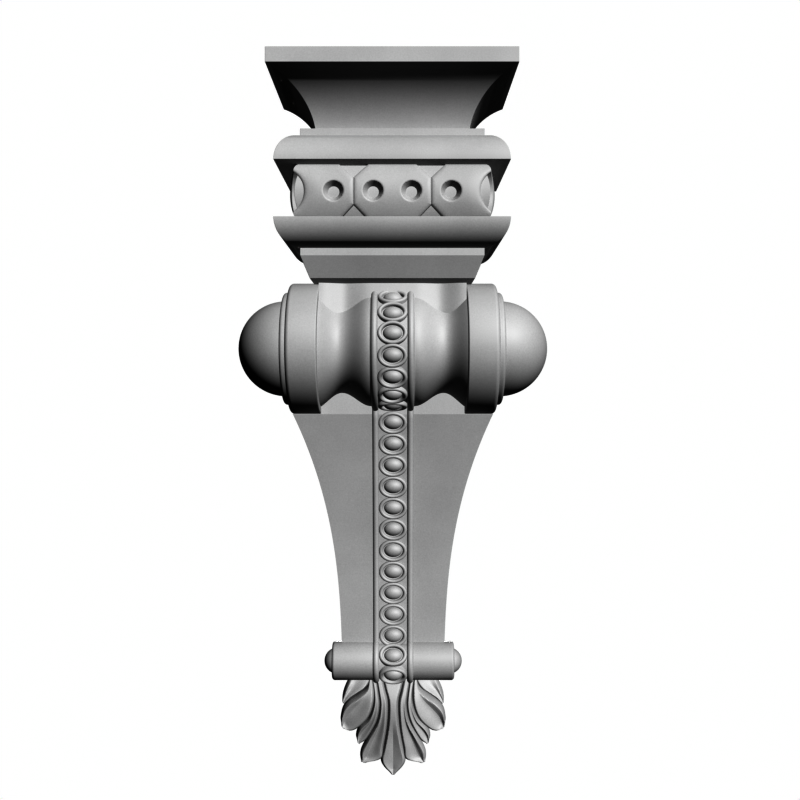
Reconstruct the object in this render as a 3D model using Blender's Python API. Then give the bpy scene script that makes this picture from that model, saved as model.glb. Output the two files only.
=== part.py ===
"""Carved console bracket in one piece of cast stone.

A moulded square cap stands on a large turned roll. A curved shaft tapers from the roll
to a small roller, and a palmette leaf hangs below it. A strap of oval beads between two
round edges runs over both rolls and down the shaft.

X runs to the right, -Y towards the viewer and +Z up. The back lies in the plane y = 0,
where the bracket meets its wall, and z = 0 is the height of the large roll's axis.
"""

import math

import bmesh
import bpy
from mathutils import Vector

MM = 0.001

# Cap: half widths, and heights above the large roll's axis
CAP_HALF = 90.0 * MM
CAP_FRONT = 115.7 * MM
CAP_TOP = 210.0 * MM
SLAB_HEIGHT = 11.0 * MM
COVE_RADIUS = 49.5 * MM
NECK_HALF = 56.9 * MM
NECK_Z = 158.0 * MM
FILLET_HALF = 67.4 * MM
FILLET_HEIGHT = 5.6 * MM
BAND_HALF = 84.7 * MM
FRIEZE_TOP = 131.4 * MM
FRIEZE_FOOT = 90.7 * MM
LOWER_BAND_FOOT = 70.9 * MM
SPLAY_TOP = 65.3 * MM
SPLAY_FOOT = 49.3 * MM
SPLAY_FOOT_HALF = 60.8 * MM

# Frieze tiles, raised on a bulging band
TILE_HALF = 69.8 * MM
TILE_BULGE = 6.0 * MM
TILE_SEAM = 28.1 * MM
TILE_CHAMFER = 10.6 * MM
TILE_SINK = 4.6 * MM
NOTCH_GAP = 0.02 * MM
SEAM_WIDTH = 1.6 * MM
SEAM_REACH = 0.8
HOLE_PLACES = (13.9 * MM, 42.6 * MM)
HOLE_RIM = 7.4 * MM
HOLE_FLOOR = 4.2 * MM
HOLE_DEPTH = 6.0 * MM
SCOOP_RADIUS = 17.3 * MM
SCOOP_PLACE = 81.3 * MM
SCOOP_STEP = 0.3 * MM

# Block behind the large roll; its face dips beside the strap, steps out at its edges
# and comes forward towards its foot
BLOCK_HALF = 56.5 * MM
BLOCK_FRONT = 57.0 * MM
BLOCK_DIP = 3.0 * MM
BLOCK_DIP_START = 17.0 * MM
BLOCK_DIP_RUN = 23.0 * MM
BLOCK_FLARE = 5.6 * MM
BLOCK_FLARE_START = 34.0 * MM
BLOCK_FLARE_RUN = 22.0 * MM
BLOCK_LEAN_MIDDLE = 3.4 * MM
BLOCK_LEAN_SIDE = 1.5 * MM
BLOCK_LEAN_HEIGHT = 22.6 * MM

# Large roll, turned about a line along X
ROLL_DEPTH = 34.2 * MM
BULGE_RADIUS = 45.1 * MM
BULGE_END = 17.0 * MM
WAIST_RADIUS = 34.7 * MM
WAIST_PLACE = 40.0 * MM
FLARE_RISE = 13.0 * MM
COLLAR_RADIUS = 51.1 * MM
COLLAR_INNER = 56.5 * MM
COLLAR_OUTER = 80.2 * MM
COLLAR_INNER_ROUND = 1.0 * MM
COLLAR_ROUND = 3.2 * MM
STEP_RADIUS = 44.0 * MM
STEP_OUTER = 85.1 * MM
STEP_ROUND = 2.4 * MM
DOME_RADIUS = 37.3 * MM
DOME_PLACE = 83.9 * MM

# Shaft
SHAFT_TOP = -51.5 * MM
SHAFT_FOOT = -240.4 * MM
SHAFT_TOP_HALF = 78.9 * MM
SHAFT_FOOT_HALF = 41.9 * MM
SHAFT_TAPER = 5.5 * MM
SHAFT_SWEEP_POWER = 2.55
SHAFT_TOP_FRONT = 34.4 * MM
SHAFT_TOP_TILT = 14.4
SHAFT_FOOT_TILT = 2.8
SHAFT_STATIONS = 12

# Small roller at the shaft's foot, its back cut off by the wall
ROLLER_DEPTH = 4.0 * MM
ROLLER_Z = -253.6 * MM
ROLLER_RADIUS = 15.4 * MM
ROLLER_HALF = 49.5 * MM
ROLLER_ROUND = 2.2 * MM
BUTTON_RADIUS = 10.35 * MM
BUTTON_PLACE = 45.75 * MM

# Strap and beads
ROD_RADIUS = 2.55 * MM
SHAFT_ROD_RADIUS = 2.48 * MM
ROD_PLACE = 13.8 * MM
ROD_RISE = 1.5 * MM
BED_RISE = 0.6 * MM
SHAFT_STRAP_RUN_UP = 5.0 * MM
BEAD_PITCH = 17.65 * MM
BEAD_HALF_WIDTH = 11.4 * MM
BEAD_HALF_HEIGHT = 9.1 * MM
STRAP_BASE = -1.5 * MM
BEAD_BASE = -6.0 * MM
RING_RISE = 3.9 * MM
RING_SHARE = 0.86
GROOVE_RISE = 1.5 * MM
GROOVE_SHARE = 0.68
SHOULDER_RISE = 4.6 * MM
SHOULDER_SHARE = 0.46
DOME_RISE = 5.3 * MM
ROLL_BEAD_REACH = 48.4 * MM
ROLL_BEAD_START = 53.7
ROLL_BEADS = 7
SHAFT_BEAD_START = 6.5 * MM
SHAFT_BEADS = 11
ROLLER_BEAD_REACH = 16.0 * MM
ROLLER_BEAD_START = 30.3
ROLLER_BEADS = 2

# Palmette leaf; its edges are stretched down from the pivot and spread from the middle
LEAF_STRETCH = 1.04
LEAF_SPREAD = 1.02
LEAF_PIVOT = 248.0
LEAF_ROOT_Z = -258.4 * MM
LEAF_CREST_Z = -287.0 * MM
LEAF_ROOT_DEPTH = 4.0 * MM
LEAF_CREST_DEPTH = 18.5 * MM
LEAF_FALL_TILT = 16.0
LEAF_FALL_START = 15.0 * MM
LEAF_HALF = 42.8 * MM
LEAF_SIDE_FALL = 4.5 * MM
LOBE_EDGE_DROP = 3.5 * MM
LOBE_EDGE_SHARE = 0.5
LOBE_VALLEY = 2.4 * MM
LOBE_VALLEY_SHARE = 0.2
LOBE_LAYER = 0.45 * MM
LOBE_STATIONS = 8
LOBE_END = 0.985

# Shares of a lobe's width: where its rims are, and where its valley lies
LOBE_RIM = 0.14
MIDDLE_VALLEY_PLACE = 0.5
SIDE_VALLEY_PLACE = 0.6

# Every form runs this far into its neighbour or past the wall plane
OVERLAP = 6.0 * MM
FAR = 400.0 * MM


def clear_scene():
    for obj in list(bpy.data.objects):
        bpy.data.objects.remove(obj)


def cast_stone():
    material = bpy.data.materials.new("cast_stone")
    material.use_nodes = True
    shader = material.node_tree.nodes["Principled BSDF"]
    shader.inputs["Base Color"].default_value = (0.20, 0.20, 0.20, 1.0)
    shader.inputs["Roughness"].default_value = 0.62
    shader.inputs["Metallic"].default_value = 0.0
    return material


def helper_collection(name):
    collection = bpy.data.collections.new(name)
    bpy.context.scene.collection.children.link(collection)
    return collection


def make_object(name, bm, collection):
    bmesh.ops.recalc_face_normals(bm, faces=bm.faces)
    mesh = bpy.data.meshes.new(name)
    bm.to_mesh(mesh)
    bm.free()
    obj = bpy.data.objects.new(name, mesh)
    collection.objects.link(obj)
    return obj


def make_helper(name, bm, collection):
    obj = make_object(name, bm, collection)
    obj.hide_render = True
    obj.display_type = "WIRE"
    return obj


def loft(rings):
    """A closed body through rings of equally many points, capped at both ends."""
    bm = bmesh.new()
    loops = [[bm.verts.new(point) for point in ring] for ring in rings]
    count = len(loops[0])
    for near, far in zip(loops, loops[1:]):
        for i in range(count):
            j = (i + 1) % count
            bm.faces.new((near[i], near[j], far[j], far[i]))
    bm.faces.new(loops[0])
    bm.faces.new(loops[-1])
    return bm


def prism(outline, place_near, place_far):
    """A closed body between two placings of one flat outline."""
    return loft([[place_near(a, b) for a, b in outline], [place_far(a, b) for a, b in outline]])


def arc(centre, radii, start, end, steps):
    """Points of an elliptical arc, its angles in degrees."""
    points = []
    for i in range(steps + 1):
        angle = math.radians(start + (end - start) * i / steps)
        points.append((centre[0] + radii[0] * math.cos(angle), centre[1] + radii[1] * math.sin(angle)))
    return points


def disc(across, up, radius, segments):
    """A closed circle, its start point not repeated."""
    return arc((across, up), (radius, radius), 0, 360, segments)[:-1]


def ease(t):
    """Goes from 0 to 1 with level ends."""
    return (1.0 - math.cos(math.pi * min(max(t, 0.0), 1.0))) / 2.0


# Cap: rectangles with mitred corners, from the slab down to the splay


def cove_points(steps):
    slab_foot = CAP_TOP - SLAB_HEIGHT
    chord = Vector((NECK_HALF - CAP_HALF, NECK_Z - slab_foot))
    middle = Vector((CAP_HALF, slab_foot)) + chord / 2.0
    height = math.sqrt(COVE_RADIUS**2 - (chord.length / 2.0) ** 2)
    centre = middle + Vector((-chord.y, chord.x)).normalized() * height
    start = math.degrees(math.atan2(slab_foot - centre.y, CAP_HALF - centre.x))
    end = math.degrees(math.atan2(NECK_Z - centre.y, NECK_HALF - centre.x))
    return arc(centre, (COVE_RADIUS, COVE_RADIUS), start, end % 360.0, steps)


def cap_profile():
    """Half width and height, from the top of the slab to the foot of the splay."""
    fillet_foot = NECK_Z - FILLET_HEIGHT
    band_reach = BAND_HALF - FILLET_HALF
    frieze_middle = (FRIEZE_TOP + FRIEZE_FOOT) / 2.0
    frieze_half = (FRIEZE_TOP - FRIEZE_FOOT) / 2.0
    upper_band = arc((FILLET_HALF, FRIEZE_TOP), (band_reach, fillet_foot - FRIEZE_TOP), 90, 0, 6)
    lower_band = arc((FILLET_HALF, FRIEZE_FOOT), (band_reach, FRIEZE_FOOT - LOWER_BAND_FOOT), 0, -90, 6)
    barrel = (frieze_half**2 + TILE_BULGE**2) / (2.0 * TILE_BULGE)
    turn = math.degrees(math.asin(frieze_half / barrel))
    frieze = arc((TILE_HALF + TILE_BULGE - barrel, frieze_middle), (barrel, barrel), turn, -turn, 8)
    profile = [(CAP_HALF, CAP_TOP)]
    profile += cove_points(8)
    profile += [(FILLET_HALF, NECK_Z)]
    profile += upper_band
    profile += frieze
    profile += lower_band
    profile += [(FILLET_HALF, SPLAY_TOP), (SPLAY_FOOT_HALF, SPLAY_FOOT)]
    return profile


def cap_rectangle(half, z):
    front = half + CAP_FRONT - CAP_HALF
    return [(-half, OVERLAP, z), (-half, -front, z), (half, -front, z), (half, OVERLAP, z)]


def frieze_face(side):
    """Places a point of the frieze by its distance along the face, its height and its depth."""
    corner = CAP_FRONT - CAP_HALF
    if side == 0:
        return lambda along, z, half: (along, -(half + corner), z)
    return lambda along, z, half: (side * half, -(along + corner), z)


def frieze_cutters(collection):
    middle = (FRIEZE_TOP + FRIEZE_FOOT) / 2.0
    half_height = (FRIEZE_TOP - FRIEZE_FOOT) / 2.0
    floor = TILE_HALF - TILE_SINK
    outside = TILE_HALF + TILE_BULGE + OVERLAP
    # a notch outline is a triangle with its point towards the middle of the frieze
    for side in (0, -1, 1):
        place = frieze_face(side)
        for seam in (-TILE_SEAM, TILE_SEAM):
            for up in (-1, 1):
                edge = middle + up * (half_height + NOTCH_GAP)
                notch = [
                    (seam - TILE_CHAMFER, edge),
                    (seam + TILE_CHAMFER, edge),
                    (seam, edge - up * TILE_CHAMFER),
                ]
                bm = prism(notch, lambda a, z: place(a, z, floor), lambda a, z: place(a, z, outside))
                make_helper("tile_notch", bm, collection)
            groove = [
                (seam, TILE_HALF - SEAM_WIDTH),
                (seam + SEAM_WIDTH, outside),
                (seam - SEAM_WIDTH, outside),
            ]
            top = middle + half_height - TILE_CHAMFER * SEAM_REACH
            foot = middle - half_height + TILE_CHAMFER * SEAM_REACH
            bm = prism(groove, lambda a, h: place(a, foot, h), lambda a, h: place(a, top, h))
            make_helper("tile_seam", bm, collection)
        for hole in [sign * x for x in HOLE_PLACES for sign in (-1, 1)]:
            if side != 0 and hole == -HOLE_PLACES[1]:
                continue
            face = TILE_HALF + TILE_BULGE
            slope = (HOLE_RIM - HOLE_FLOOR) / HOLE_DEPTH
            rim = HOLE_RIM + slope * OVERLAP
            deep = [place(a, z, face - HOLE_DEPTH) for a, z in disc(hole, middle, HOLE_FLOOR, 20)]
            open_end = [place(a, z, face + OVERLAP) for a, z in disc(hole, middle, rim, 20)]
            make_helper("tile_hole", loft([deep, open_end]), collection)
        for scoop in (-SCOOP_PLACE, SCOOP_PLACE):
            if side != 0 and scoop < 0:
                continue
            seat = floor + TILE_BULGE - abs(side) * SCOOP_STEP
            outline = disc(scoop, middle, SCOOP_RADIUS, 36)
            bm = prism(outline, lambda a, z: place(a, z, seat), lambda a, z: place(a, z, outside))
            make_helper("tile_scoop", bm, collection)


def build_cap(scene_collection):
    rings = [cap_rectangle(half, z) for half, z in cap_profile()]
    return make_object("carved_bracket", loft(rings), scene_collection)


# Block, large roll and shaft


def block_front(x, z):
    side = ease((x - BLOCK_DIP_START) / BLOCK_DIP_RUN)
    flare = BLOCK_FLARE * ease((x - BLOCK_FLARE_START) / BLOCK_FLARE_RUN)
    lean = BLOCK_LEAN_MIDDLE + (BLOCK_LEAN_SIDE - BLOCK_LEAN_MIDDLE) * side
    return BLOCK_FRONT - BLOCK_DIP * side + flare + lean * (SPLAY_FOOT - z) / BLOCK_LEAN_HEIGHT


def build_block(collection):
    """The upright block that carries the cap; its foot ends inside the large roll."""
    steps = 9
    places = [BLOCK_DIP_START + (BLOCK_HALF - BLOCK_DIP_START) * i / steps for i in range(steps + 1)]
    rings = []
    for z in (-OVERLAP, SPLAY_FOOT + OVERLAP):
        right = [(x, -block_front(x, z), z) for x in places]
        left = [(-x, y, z) for x, y, z in reversed(right)]
        rings.append([(-BLOCK_HALF, OVERLAP, z)] + left + right + [(BLOCK_HALF, OVERLAP, z)])
    make_helper("block", loft(rings), collection)


def round_edge(corner, radius, start, end, steps=2):
    """A quarter round, centred so that it touches both faces of the corner."""
    return arc(corner, (radius, radius), start, end, steps)


def strap_section(base, rod_radius):
    """Right half of the strap, as places along X and heights over a base, from the middle out."""
    return [(0.0, base + BED_RISE)] + arc((ROD_PLACE, base + ROD_RISE), (rod_radius, rod_radius), 200, -20, 6)


def end_dome(meeting_place, centre, radius, steps):
    """A ball's outline from where it leaves a flat end to the point on the axis."""
    meet = math.degrees(math.acos((meeting_place - centre) / radius))
    points = arc((centre, 0.0), (radius, radius), meet, 0, steps)
    return points[:-1] + [(centre + radius, 0.0)]


def roll_half_profile():
    """Right half of the large roll, as (place along X, radius)."""
    points = strap_section(BULGE_RADIUS, ROD_RADIUS)
    points.append((BULGE_END, BULGE_RADIUS))
    steps = 5
    for i in range(1, steps + 1):
        x = BULGE_END + (WAIST_PLACE - BULGE_END) * i / steps
        points.append((x, BULGE_RADIUS - (BULGE_RADIUS - WAIST_RADIUS) * ease(i / steps)))
    rise_length = WAIST_PLACE - BULGE_END
    for i in range(1, 5):
        x = WAIST_PLACE + (COLLAR_INNER - WAIST_PLACE) * i / 4
        points.append((x, WAIST_RADIUS + FLARE_RISE * ease((x - WAIST_PLACE) / rise_length)))
    inner = (COLLAR_INNER + COLLAR_INNER_ROUND, COLLAR_RADIUS - COLLAR_INNER_ROUND)
    outer = (COLLAR_OUTER - COLLAR_ROUND, COLLAR_RADIUS - COLLAR_ROUND)
    step = (STEP_OUTER - STEP_ROUND, STEP_RADIUS - STEP_ROUND)
    points += round_edge(inner, COLLAR_INNER_ROUND, 180, 90)
    points += round_edge(outer, COLLAR_ROUND, 90, 0, 3)
    points.append((COLLAR_OUTER, STEP_RADIUS))
    points += round_edge(step, STEP_ROUND, 90, 0)
    return points + end_dome(STEP_OUTER, DOME_PLACE, DOME_RADIUS, 7)


def roller_half_profile():
    """Right half of the small roller, as (place along X, radius)."""
    points = strap_section(ROLLER_RADIUS - ROD_RISE, ROD_RADIUS)
    points.append((ROD_PLACE + ROD_RADIUS, ROLLER_RADIUS))
    points += round_edge((ROLLER_HALF - ROLLER_ROUND, ROLLER_RADIUS - ROLLER_ROUND), ROLLER_ROUND, 90, 0)
    return points + end_dome(ROLLER_HALF, BUTTON_PLACE, BUTTON_RADIUS, 4)


def build_turned(name, half_profile, depth, z, segments, collection):
    """Turns a half profile and its mirror image about a line along X."""
    left = [(-x, radius) for x, radius in reversed(half_profile[1:])]
    profile = left + half_profile
    bm = bmesh.new()
    chain = [bm.verts.new((x, -depth - radius, z)) for x, radius in profile]
    for near, far in zip(chain, chain[1:]):
        bm.edges.new((near, far))
    bmesh.ops.spin(
        bm,
        geom=bm.verts[:] + bm.edges[:],
        cent=(0.0, -depth, z),
        axis=(1.0, 0.0, 0.0),
        angle=math.tau,
        steps=segments,
        use_merge=True,
    )
    bmesh.ops.remove_doubles(bm, verts=bm.verts, dist=0.01 * MM)
    make_helper(name, bm, collection)


def shaft_share(z):
    return (SHAFT_TOP - z) / (SHAFT_TOP - SHAFT_FOOT)


def shaft_half(z):
    left = 1.0 - min(shaft_share(z), 1.0)
    sweep = SHAFT_TOP_HALF - SHAFT_FOOT_HALF - SHAFT_TAPER
    return SHAFT_FOOT_HALF + SHAFT_TAPER * left + sweep * left**SHAFT_SWEEP_POWER


def shaft_front(z):
    """The face leans in by an angle that eases from the top of the shaft to its foot."""
    length = SHAFT_TOP - SHAFT_FOOT
    share = shaft_share(z)
    top = math.tan(math.radians(SHAFT_TOP_TILT))
    foot = math.tan(math.radians(SHAFT_FOOT_TILT))
    return SHAFT_TOP_FRONT - length * (top * share + (foot - top) * share**2 / 2.0)


def shaft_rectangle(half, front, z):
    return [(-half, OVERLAP, z), (-half, -front, z), (half, -front, z), (half, OVERLAP, z)]


def build_shaft(collection):
    """The shaft runs up behind the collars as far as the large roll's middle."""
    run = SHAFT_TOP - SHAFT_FOOT + OVERLAP
    stations = [SHAFT_TOP - run * i / SHAFT_STATIONS for i in range(SHAFT_STATIONS + 1)]
    rings = [shaft_rectangle(SHAFT_TOP_HALF, SHAFT_TOP_FRONT, OVERLAP)]
    rings += [shaft_rectangle(shaft_half(z), shaft_front(z), z) for z in stations]
    make_helper("shaft", loft(rings), collection)


# Strap and beads


def roll_surface(along, x, rise):
    """along is an arc length down from the roll's front, at the radius of the beads' pitch"""
    angle = -along / ROLL_BEAD_REACH
    radius = BULGE_RADIUS + rise
    return Vector((x, -ROLL_DEPTH - radius * math.cos(angle), radius * math.sin(angle)))


def roller_surface(along, x, rise):
    radius = ROLLER_RADIUS - ROD_RISE + rise
    angle = -along / ROLLER_BEAD_REACH
    return Vector((x, -ROLLER_DEPTH - radius * math.cos(angle), ROLLER_Z + radius * math.sin(angle)))


def shaft_surface(along, x, rise):
    """along is the way down the shaft's face from its top edge"""
    share = along / (SHAFT_TOP - SHAFT_FOOT)
    tilt = math.radians(SHAFT_TOP_TILT + (SHAFT_FOOT_TILT - SHAFT_TOP_TILT) * share)
    z = SHAFT_TOP - along * math.cos(math.radians((SHAFT_TOP_TILT + math.degrees(tilt)) / 2.0))
    return Vector((x, -shaft_front(z) - rise * math.cos(tilt), z - rise * math.sin(tilt)))


def build_shaft_strap(collection):
    half = strap_section(0.0, SHAFT_ROD_RADIUS)[1:]
    section = [(-x, rise) for x, rise in reversed(half)] + half
    section = [(-ROD_PLACE, STRAP_BASE)] + section + [(ROD_PLACE, STRAP_BASE)]
    length = SHAFT_TOP - SHAFT_FOOT + OVERLAP
    top = SHAFT_TOP + SHAFT_STRAP_RUN_UP
    rings = [[Vector((x, -SHAFT_TOP_FRONT - rise, top)) for x, rise in section]]
    for i in range(SHAFT_STATIONS + 1):
        rings.append([shaft_surface(length * i / SHAFT_STATIONS, x, rise) for x, rise in section])
    make_helper("shaft_strap", loft(rings), collection)


def build_bead(surface, along, collection):
    """A domed oval in a raised oval ring, standing square on a curved surface."""
    segments = 12
    levels = (
        (1.0, BEAD_BASE),
        (RING_SHARE, RING_RISE),
        (GROOVE_SHARE, GROOVE_RISE),
        (SHOULDER_SHARE, SHOULDER_RISE),
    )
    base = surface(along, 0.0, 0.0)
    out = (surface(along, 0.0, MM) - base).normalized()
    right = Vector((1.0, 0.0, 0.0))
    upward = out.cross(right)
    rings = []
    for share, rise in levels:
        ring = []
        for i in range(segments):
            angle = math.tau * i / segments
            across = BEAD_HALF_WIDTH * share * math.cos(angle)
            up = BEAD_HALF_HEIGHT * share * math.sin(angle)
            ring.append(base + right * across + upward * up + out * rise)
        rings.append(ring)
    bm = loft(rings)
    bm.faces.ensure_lookup_table()
    cap = bmesh.ops.poke(bm, faces=[bm.faces[-1]])
    cap["verts"][0].co = base + out * DOME_RISE
    make_helper("bead", bm, collection)


def build_beads(collection):
    for i in range(ROLL_BEADS):
        along = BEAD_PITCH * i - math.radians(ROLL_BEAD_START) * ROLL_BEAD_REACH
        build_bead(roll_surface, along, collection)
    for i in range(SHAFT_BEADS):
        build_bead(shaft_surface, SHAFT_BEAD_START + BEAD_PITCH * i, collection)
    for i in range(ROLLER_BEADS):
        along = BEAD_PITCH * i - math.radians(ROLLER_BEAD_START) * ROLLER_BEAD_REACH
        build_bead(roller_surface, along, collection)


# Leaf: each lobe lies between an inner and an outer edge, given from the root to the tip


def leaf_edge(points):
    """The edge at its real size."""
    return [(x * LEAF_SPREAD, LEAF_PIVOT + (drop - LEAF_PIVOT) * LEAF_STRETCH) for x, drop in points]


def lobe_edges():
    """Edges in millimetres right of the centre line and below the large roll's axis."""
    middle = [
        (11.0, 260.0), (6.8, 273.7), (4.3, 284.0), (5.1, 302.6),
        (8.1, 321.4), (10.0, 331.0), (7.2, 337.6), (0.0, 344.6),
    ]
    first_in = [
        (10.0, 260.0), (6.4, 273.7), (3.9, 284.0), (4.7, 302.6),
        (7.7, 321.4), (9.9, 331.0), (24.5, 334.4),
    ]
    first_out = [
        (15.5, 260.0), (11.9, 277.0), (11.0, 287.0), (13.6, 299.9),
        (21.0, 313.9), (26.2, 325.0), (25.6, 334.0),
    ]
    second_in = [
        (14.5, 260.0), (11.5, 277.0), (10.6, 287.0), (13.2, 299.9),
        (20.0, 313.0), (23.5, 317.0), (27.4, 318.1),
    ]
    second_out = [
        (19.0, 260.0), (15.6, 275.0), (16.2, 286.4), (20.3, 297.0),
        (27.0, 304.6), (29.8, 311.5), (28.0, 317.6),
    ]
    third_in = [
        (18.0, 260.0), (15.0, 275.0), (15.8, 286.4), (20.0, 297.2),
        (27.6, 305.4), (34.0, 308.2), (40.4, 305.2),
    ]
    third_out = [
        (18.6, 262.0), (21.4, 273.2), (28.2, 279.4), (35.6, 284.4),
        (40.3, 290.2), (42.1, 298.2), (40.8, 304.6),
    ]
    fourth_in = [
        (15.5, 258.0), (18.0, 268.5), (22.0, 273.9), (28.0, 277.8),
        (33.0, 281.2), (36.6, 284.0), (39.4, 285.2),
    ]
    fourth_out = [
        (34.0, 258.0), (34.6, 264.0), (36.4, 269.0), (38.4, 273.4),
        (39.7, 277.0), (40.5, 280.6), (40.1, 284.6),
    ]
    pairs = [(first_in, first_out), (second_in, second_out), (third_in, third_out), (fourth_in, fourth_out)]
    sides = [(leaf_edge(inner), leaf_edge(outer)) for inner, outer in pairs]
    return leaf_edge(middle), sides


def leaf_depth(x, z):
    """Swells from the root to the crest, then leans back in a straight line."""
    if z > LEAF_CREST_Z:
        share = max((LEAF_ROOT_Z - z) / (LEAF_ROOT_Z - LEAF_CREST_Z), 0.0)
        depth = LEAF_ROOT_DEPTH + (LEAF_CREST_DEPTH - LEAF_ROOT_DEPTH) * math.sin(share * math.pi / 2.0)
    else:
        past = LEAF_CREST_Z - z
        if past < LEAF_FALL_START:
            way = past**2 / (2.0 * LEAF_FALL_START)
        else:
            way = past - LEAF_FALL_START / 2.0
        depth = LEAF_CREST_DEPTH - way * math.tan(math.radians(LEAF_FALL_TILT))
    return depth - LEAF_SIDE_FALL * (x / LEAF_HALF) ** 2


def along_edge(points, share):
    """A point of a smooth curve through the edge's points."""
    place = share * (len(points) - 1)
    i = min(int(place), len(points) - 2)
    t = place - i
    before = points[max(i - 1, 0)]
    after = points[min(i + 2, len(points) - 1)]
    found = []
    for a, b, c, d in zip(before, points[i], points[i + 1], after):
        found.append(b + 0.5 * t * (c - a + t * (2 * a - 5 * b + 4 * c - d + t * (3 * (b - c) + d - a))))
    return found


def lobe_cross(place):
    """Across a lobe: the share of its width, of its edge drop and of its valley."""
    far_rim = 1.0 - LOBE_RIM
    return (
        (0.0, 1.0, 0.0),
        (LOBE_RIM, 0.0, 0.0),
        ((LOBE_RIM + place) / 2.0, 0.0, 0.6),
        (place, 0.0, 1.0),
        ((far_rim + place) / 2.0, 0.0, 0.6),
        (far_rim, 0.0, 0.0),
        (1.0, 1.0, 0.0),
    )


def build_lobe(inner, outer, side, valley_place, layer, collection):
    """A lobe between two edges on the right, or its mirror image on the left."""
    rings = []
    for i in range(LOBE_STATIONS + 1):
        share = LOBE_END * i / LOBE_STATIONS
        start = along_edge(inner, share)
        end = along_edge(outer, share)
        width = math.hypot(end[0] - start[0], end[1] - start[1]) * MM
        valley = min(LOBE_VALLEY, LOBE_VALLEY_SHARE * width)
        ring = []
        for cross, edge_share, valley_share in lobe_cross(valley_place):
            x = (start[0] + (end[0] - start[0]) * cross) * MM
            z = -(start[1] + (end[1] - start[1]) * cross) * MM
            depth = leaf_depth(x, z) - layer
            edge = min(LOBE_EDGE_DROP, LOBE_EDGE_SHARE * depth)
            ring.append(Vector((side * x, -(depth - edge * edge_share - valley * valley_share), z)))
        back = OVERLAP + layer
        ring.append(Vector((ring[-1].x, back, ring[-1].z)))
        ring.append(Vector((ring[0].x, back, ring[0].z)))
        rings.append(ring)
    make_helper("leaf_lobe", loft(rings), collection)


def build_leaf(collection):
    middle, sides = lobe_edges()
    left_middle = [(-x, drop) for x, drop in middle]
    build_lobe(left_middle, middle, 1, MIDDLE_VALLEY_PLACE, 0.0, collection)
    for order, (inner, outer) in enumerate(sides, start=1):
        for side in (1, -1):
            build_lobe(inner, outer, side, SIDE_VALLEY_PLACE, LOBE_LAYER * order, collection)


def add_boolean(obj, name, operation, collection):
    modifier = obj.modifiers.new(name, "BOOLEAN")
    modifier.operation = operation
    modifier.operand_type = "COLLECTION"
    modifier.collection = collection


def build_wall_cut(collection):
    bm = bmesh.new()
    bmesh.ops.create_cube(bm, size=1.0)
    bmesh.ops.scale(bm, vec=(FAR, FAR, 4 * FAR), verts=bm.verts)
    bmesh.ops.translate(bm, vec=(0.0, FAR / 2.0, 0.0), verts=bm.verts)
    make_helper("wall_cut", bm, collection)


def main():
    clear_scene()
    frieze_cuts = helper_collection("frieze_cuts")
    forms = helper_collection("fused_forms")
    wall = helper_collection("wall")
    bracket = build_cap(bpy.context.scene.collection)
    frieze_cutters(frieze_cuts)
    build_block(forms)
    build_turned("large_roll", roll_half_profile(), ROLL_DEPTH, 0.0, 32, forms)
    build_shaft(forms)
    build_turned("small_roller", roller_half_profile(), ROLLER_DEPTH, ROLLER_Z, 22, forms)
    build_shaft_strap(forms)
    build_beads(forms)
    build_leaf(forms)
    build_wall_cut(wall)
    add_boolean(bracket, "frieze carving", "DIFFERENCE", frieze_cuts)
    add_boolean(bracket, "one cast piece", "UNION", forms)
    add_boolean(bracket, "flat back", "DIFFERENCE", wall)
    bracket.data.materials.append(cast_stone())
    bracket.data.shade_smooth()
    bracket.data.set_sharp_from_angle(angle=math.radians(30.0))


main()
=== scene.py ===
import math

import bmesh
import bpy
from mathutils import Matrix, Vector


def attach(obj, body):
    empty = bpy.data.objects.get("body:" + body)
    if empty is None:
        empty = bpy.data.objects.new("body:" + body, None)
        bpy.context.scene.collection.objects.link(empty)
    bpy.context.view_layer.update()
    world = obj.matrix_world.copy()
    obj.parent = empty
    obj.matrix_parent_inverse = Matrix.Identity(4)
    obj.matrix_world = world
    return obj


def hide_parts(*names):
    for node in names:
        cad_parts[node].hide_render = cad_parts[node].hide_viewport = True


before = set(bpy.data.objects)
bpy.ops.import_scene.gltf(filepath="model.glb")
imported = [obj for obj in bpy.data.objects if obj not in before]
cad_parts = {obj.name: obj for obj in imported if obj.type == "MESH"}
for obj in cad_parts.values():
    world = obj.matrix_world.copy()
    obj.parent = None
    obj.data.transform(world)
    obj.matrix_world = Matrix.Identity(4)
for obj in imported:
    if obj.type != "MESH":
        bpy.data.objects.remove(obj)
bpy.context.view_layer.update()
mm = 0.001
weldGap = 0.004  # corners closer than this become one, in millimetres like every size below
smoothAngle = 14.0  # edges that turn by more degrees than this are shaded sharp
print("frame loaded")


# Small tools for every form


def ease(t):
    return (1 - math.cos(math.pi * min(max(t, 0), 1))) / 2


def arcPoints(centre, radii, start, end, steps):
    points = []
    for i in range(steps + 1):
        angle = math.radians(start + (end - start) * i / steps)
        across, up = radii[0] * math.cos(angle), radii[1] * math.sin(angle)
        points.append((centre[0] + across, centre[1] + up))
    return points


def newFaces(result):
    return [item for item in result["geom"] if isinstance(item, bmesh.types.BMFace)]


# extrudes a face through stations; each one gives a corner its new place from its old one
def pullThrough(bm, face, stations):
    start = face
    for station in stations:
        pulled = newFaces(bmesh.ops.extrude_face_region(bm, geom=[face]))[0]
        if face is not start:
            bmesh.ops.delete(bm, geom=[face], context="FACES_ONLY")
        face = pulled
        for vert in face.verts:
            vert.co = station(vert.co)
    return face


def polygonFace(bm, points):
    return bm.faces.new([bm.verts.new(point) for point in points])


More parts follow.
